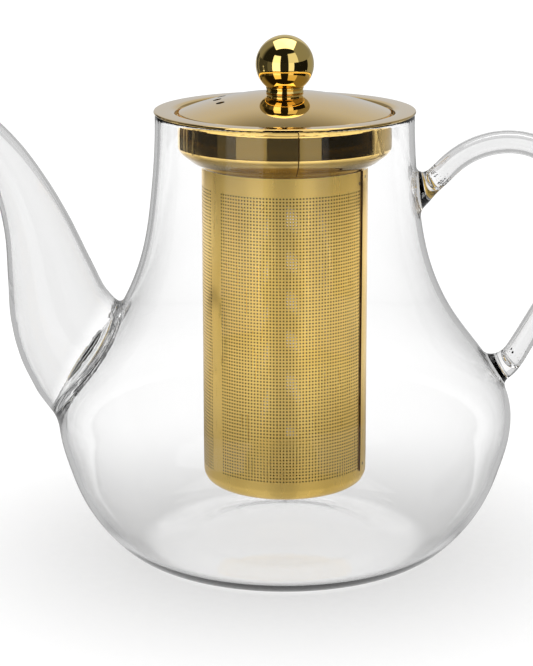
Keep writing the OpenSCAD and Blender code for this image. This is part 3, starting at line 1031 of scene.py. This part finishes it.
def room_world():
    """White to the eye; to a reflection a dim room with softboxes in front and overhead and pale walls."""
    world = bpy.data.worlds.new("studio")
    bpy.context.scene.world = world
    world.use_nodes = True
    nodes = StudioNodes(world.node_tree)
    sky = nodes.add("ShaderNodeTexCoord").outputs["Generated"]
    azimuth, turned, height, split = nodes.directions(sky)
    panels = [nodes.times(nodes.times(nodes.window(azimuth, a, b), nodes.window(height, low, high)), level)
              for a, b, low, high, level in ROOM_PANELS]
    backdrop = nodes.times(nodes.sweep(turned, 145, 165, 0.0, 1.0),
                           nodes.sweep(height, 30, 55, 0.71, 0.2))
    left, right, near, far, level = OVERHEAD
    overhead = nodes.times(nodes.window(nodes.maths("ARCTAN2", split["X"], split["Z"]), left, right),
                           nodes.window(nodes.maths("ARCTAN2", split["Y"], split["Z"]), near, far))
    mirrored, edge, within = nodes.path()
    dimmed_within = nodes.minus(1.0, nodes.times(within, 0.75))
    seen = nodes.total([nodes.times(nodes.total(panels), dimmed_within), backdrop,
                        nodes.times(overhead, level)])
    aside = nodes.times(nodes.window(height, 5, 60), nodes.sweep(turned, 95, 120, 0.0, 0.28))
    least = nodes.total([DARKEST, aside, nodes.times(edge, nodes.edge_light(turned)),
                         nodes.times(within, 0.1)])
    back = nodes.add("ShaderNodeBackground")
    nodes.link(nodes.blend(mirrored, ROOM, nodes.maths("MAXIMUM", seen, least)), back.inputs["Strength"])
    out = nodes.add("ShaderNodeOutputWorld")
    nodes.link(back.outputs[0], out.inputs["Surface"])


def screen_material():
    """The screen's panels by azimuth; clear to everything but reflections."""
    material = bpy.data.materials.new("reflected_screen")
    material.use_nodes = True
    nodes = StudioNodes(material.node_tree)
    azimuth, turned, _, split = nodes.directions(nodes.place())
    windows = [nodes.window(azimuth, a, b, 0.3) for a, b, _, _ in SCREEN]
    outside, inside = [nodes.total([nodes.times(w, panel[side])
                                    for w, panel in zip(windows, SCREEN)]) for side in (2, 3)]
    mirrored, edge, within = nodes.path()
    light = nodes.add("ShaderNodeEmission")
    nodes.link(nodes.maths("MAXIMUM", nodes.blend(within, outside, inside),
                           nodes.times(edge, nodes.edge_light(turned))),
               light.inputs["Strength"])
    below = nodes.times(within, nodes.maths("LESS_THAN", split["Z"], SCREEN_FOOT))
    shown = nodes.times(nodes.minus(mirrored, below), nodes.total(windows))
    mixed = nodes.add("ShaderNodeMixShader")
    nodes.link(shown, mixed.inputs[0])
    nodes.link(nodes.add("ShaderNodeBsdfTransparent").outputs[0], mixed.inputs[1])
    nodes.link(light.outputs[0], mixed.inputs[2])
    out = nodes.add("ShaderNodeOutputMaterial")
    nodes.link(mixed.outputs[0], out.inputs["Surface"])
    return material


def reflected_screen():
    """An upright ring round the pot that only reflections see."""
    verts = [(SCREEN_RADIUS * math.cos(a), SCREEN_RADIUS * math.sin(a), z)
             for a in full_turn(180) for z in (0, SCREEN_HEIGHT)]
    count = len(verts)
    faces = [(i, (i + 2) % count, (i + 3) % count, i + 1) for i in range(0, count, 2)]
    screen = mesh_object("reflected_screen", verts, faces)
    screen.data.materials.append(screen_material())
    screen.visible_camera = False
    screen.visible_diffuse = False
    screen.visible_shadow = False


def studio_floor():
    """A wide white floor a hair below the pot's foot, bright by itself so that shadows stay light."""
    material, nodes, shader, _ = new_material("white_floor", StudioNodes)
    preset(shader, Roughness=1.0, Specular_IOR_Level=0.0, Emission_Color=(1, 1, 1, 1))
    azimuth, turned, _, split = nodes.directions(nodes.place())
    away = nodes.maths("SQRT", nodes.maths("ADD", nodes.maths("POWER", split["X"], 2.0),
                                           nodes.maths("POWER", split["Y"], 2.0)))
    panels = nodes.total([nodes.times(nodes.window(azimuth, a, b, 2.0), level)
                          for a, b, level in FLOOR_PANELS])
    mirrored, edge, within = nodes.path()
    # to the eye: white, a little brighter under the pot as painted light, and a painted shadow that starts
    # at the pot's foot and fades outwards
    plain = nodes.total([nodes.ramp(nodes.noise(300, 2), 0.3, 0.7, 0.83, 0.84),
                         nodes.ramp(away, 0.043, 0.052, 0.05, -0.19),
                         nodes.ramp(away, 0.052, 0.17, 0.0, 0.21)])
    # to a reflection inside the pot: the panels, dimmest in a ring just round the pot
    inside = nodes.times(panels, nodes.total([nodes.ramp(away, 0.14, 0.3, 0.45, 1.0),
                                              nodes.ramp(away, 0.07, 0.12, 0.2, 0.0),
                                              nodes.ramp(away, 0.36, 0.5, 0.0, 0.4)]))
    # to one outside: dark in front of the pot, pale behind it and close to its foot
    behind = nodes.sweep(turned, 60, 100, 0.02, 0.5)
    near_foot = nodes.ramp(away, 0.055, 0.085, 0.7, 0.0)
    bent = nodes.times(nodes.edge_light(turned), 0.9)
    outside = nodes.blend(edge, nodes.maths("MAXIMUM", behind, near_foot),
                          nodes.maths("MAXIMUM", bent, near_foot))
    seen = nodes.blend(within, outside, inside)
    nodes.link(nodes.blend(mirrored, plain, seen), shader.inputs["Emission Strength"])
    nodes.link(nodes.mix(mirrored, (0.32, 0.32, 0.32), (0.0, 0.0, 0.0)), shader.inputs["Base Color"])
    wide, below = 6, -0.0002
    rim = [(wide * math.cos(a), wide * math.sin(a), below) for a in full_turn(96)]
    floor = mesh_object("floor", rim, [range(96)])
    floor.data.materials.append(material)


def camera():
    """The viewpoint: 0.73 m in front of the pot's axis, looking 13 degrees down, the frame slid a little."""
    data = bpy.data.cameras.new("camera")
    data.sensor_fit = "VERTICAL"
    data.sensor_height = 36
    data.lens = 120.0
    data.shift_x, data.shift_y = -0.0275, -0.0646
    made = bpy.data.objects.new("camera", data)
    made.location = (0, -0.7332, 0.26215)
    target = Vector((0, 0, 0.09046))
    made.rotation_euler = (target - made.location).to_track_quat("-Z", "Y").to_euler()
    bpy.context.scene.collection.objects.link(made)
    bpy.context.scene.camera = made


# ---- the pieces ----

def build_pot():
    pot = glass_mesh(Glass())
    dress(pot, glass_material(), "pot", "clear_glass", "glass_body", "spout", "handle")


def build_infuser():
    collar = revolve("collar_skin", collar_outline(), 288)
    # faces below the seat take the collar gold, which carries painted shade at the funnel's foot
    for face in collar.data.polygons:
        face.material_index = int(face.center.z < SEAT)
    dress(collar, (bright_gold, collar_gold), "infuser", "polished_gold", "infuser_collar")
    # the weld bead takes the darker gold, as painted shade along the seam
    dress(collar_seam(), painted_shade_gold, "infuser", "polished_gold", "infuser_collar")
    for sheet in basket_sheet():
        dress(sheet, (satin_gold, painted_shade_gold), "infuser", "satin_gold", "basket_wall")
    for part in basket_cup():
        dress(part, satin_gold, "infuser", "satin_gold", "basket_base")
    weld = metal("weld_metal", (0.4, 0.28, 0.12), (0.3, 0.2, 0.09), (0.3, 0.5), 900, grain_depth=0.3)
    dress(seam_welds(), weld, "infuser", "satin_gold")


def build_lid():
    dress(lid_dome(), (bright_gold, painted_shade_gold), "lid", "polished_gold", "lid_dome")
    dress(revolve("skirt_ring", skirt_outline(), 256), bright_gold, "lid", "polished_gold", "lid_skirt")
    dress(revolve("ball", ball_outline(), 192), knob_gold, "lid", "polished_gold", "knob_ball")
    dress(revolve("ball_neck", neck_outline(), 128), knob_gold, "lid", "polished_gold", "knob_neck")
    steel = metal("turned_steel", (0.62, 0.62, 0.63), (0.55, 0.55, 0.57), (0.18, 0.32), 500, (1, 1, 6), 0.4)
    for name in ("knob_insert", "knob_screw", "knob_washer"):
        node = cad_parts[name]
        node.data.materials.clear()
        node.data.materials.append(steel)


bright_gold = metal("polished_gold", (0.93, 0.64, 0.2), (0.91, 0.61, 0.18), (0.02, 0.05),
                    grain_depth=0.03, smear=0.02, coat=0.9)
# The collar below its seat: the gold with less lacquer, its colour darkened towards the funnel's foot as
# painted shade where it meets the basket.
collar_gold = metal("collar_gold", (0.93, 0.65, 0.21), (0.91, 0.62, 0.19), (0.03, 0.06),
                    grain_depth=0.03, smear=0.02, coat=0.1,
                    painted_shade_heights=((COLLAR_END + 1) * MM, (COLLAR_WALL_END + 2) * MM))
knob_gold = metal("knob_gold", (0.95, 0.74, 0.27), (0.92, 0.68, 0.22), (0.015, 0.04), grain_depth=0.02)
satin_gold = metal("satin_gold", (0.97, 0.68, 0.2), (0.93, 0.62, 0.15), (0.27, 0.33), 900, (1, 1, 0.06),
                   smear=0.04, coat=0.1)
# A dark copy of the satin gold that stands for painted shade: inside the basket, on its hole walls and cut
# edges, on the dome's vent walls and on the collar's weld bead
painted_shade_gold = metal("satin_gold_painted_shade", (0.14, 0.075, 0.018), (0.1, 0.05, 0.012), (0.4, 0.5), 900)

build_pot()
build_infuser()
build_lid()
studio_floor()
reflected_screen()
room_world()
camera()
bpy.context.scene.view_settings.view_transform = "Standard"
light_paths = bpy.context.scene.cycles
light_paths.max_bounces, light_paths.glossy_bounces, light_paths.transmission_bounces = 24, 14, 24
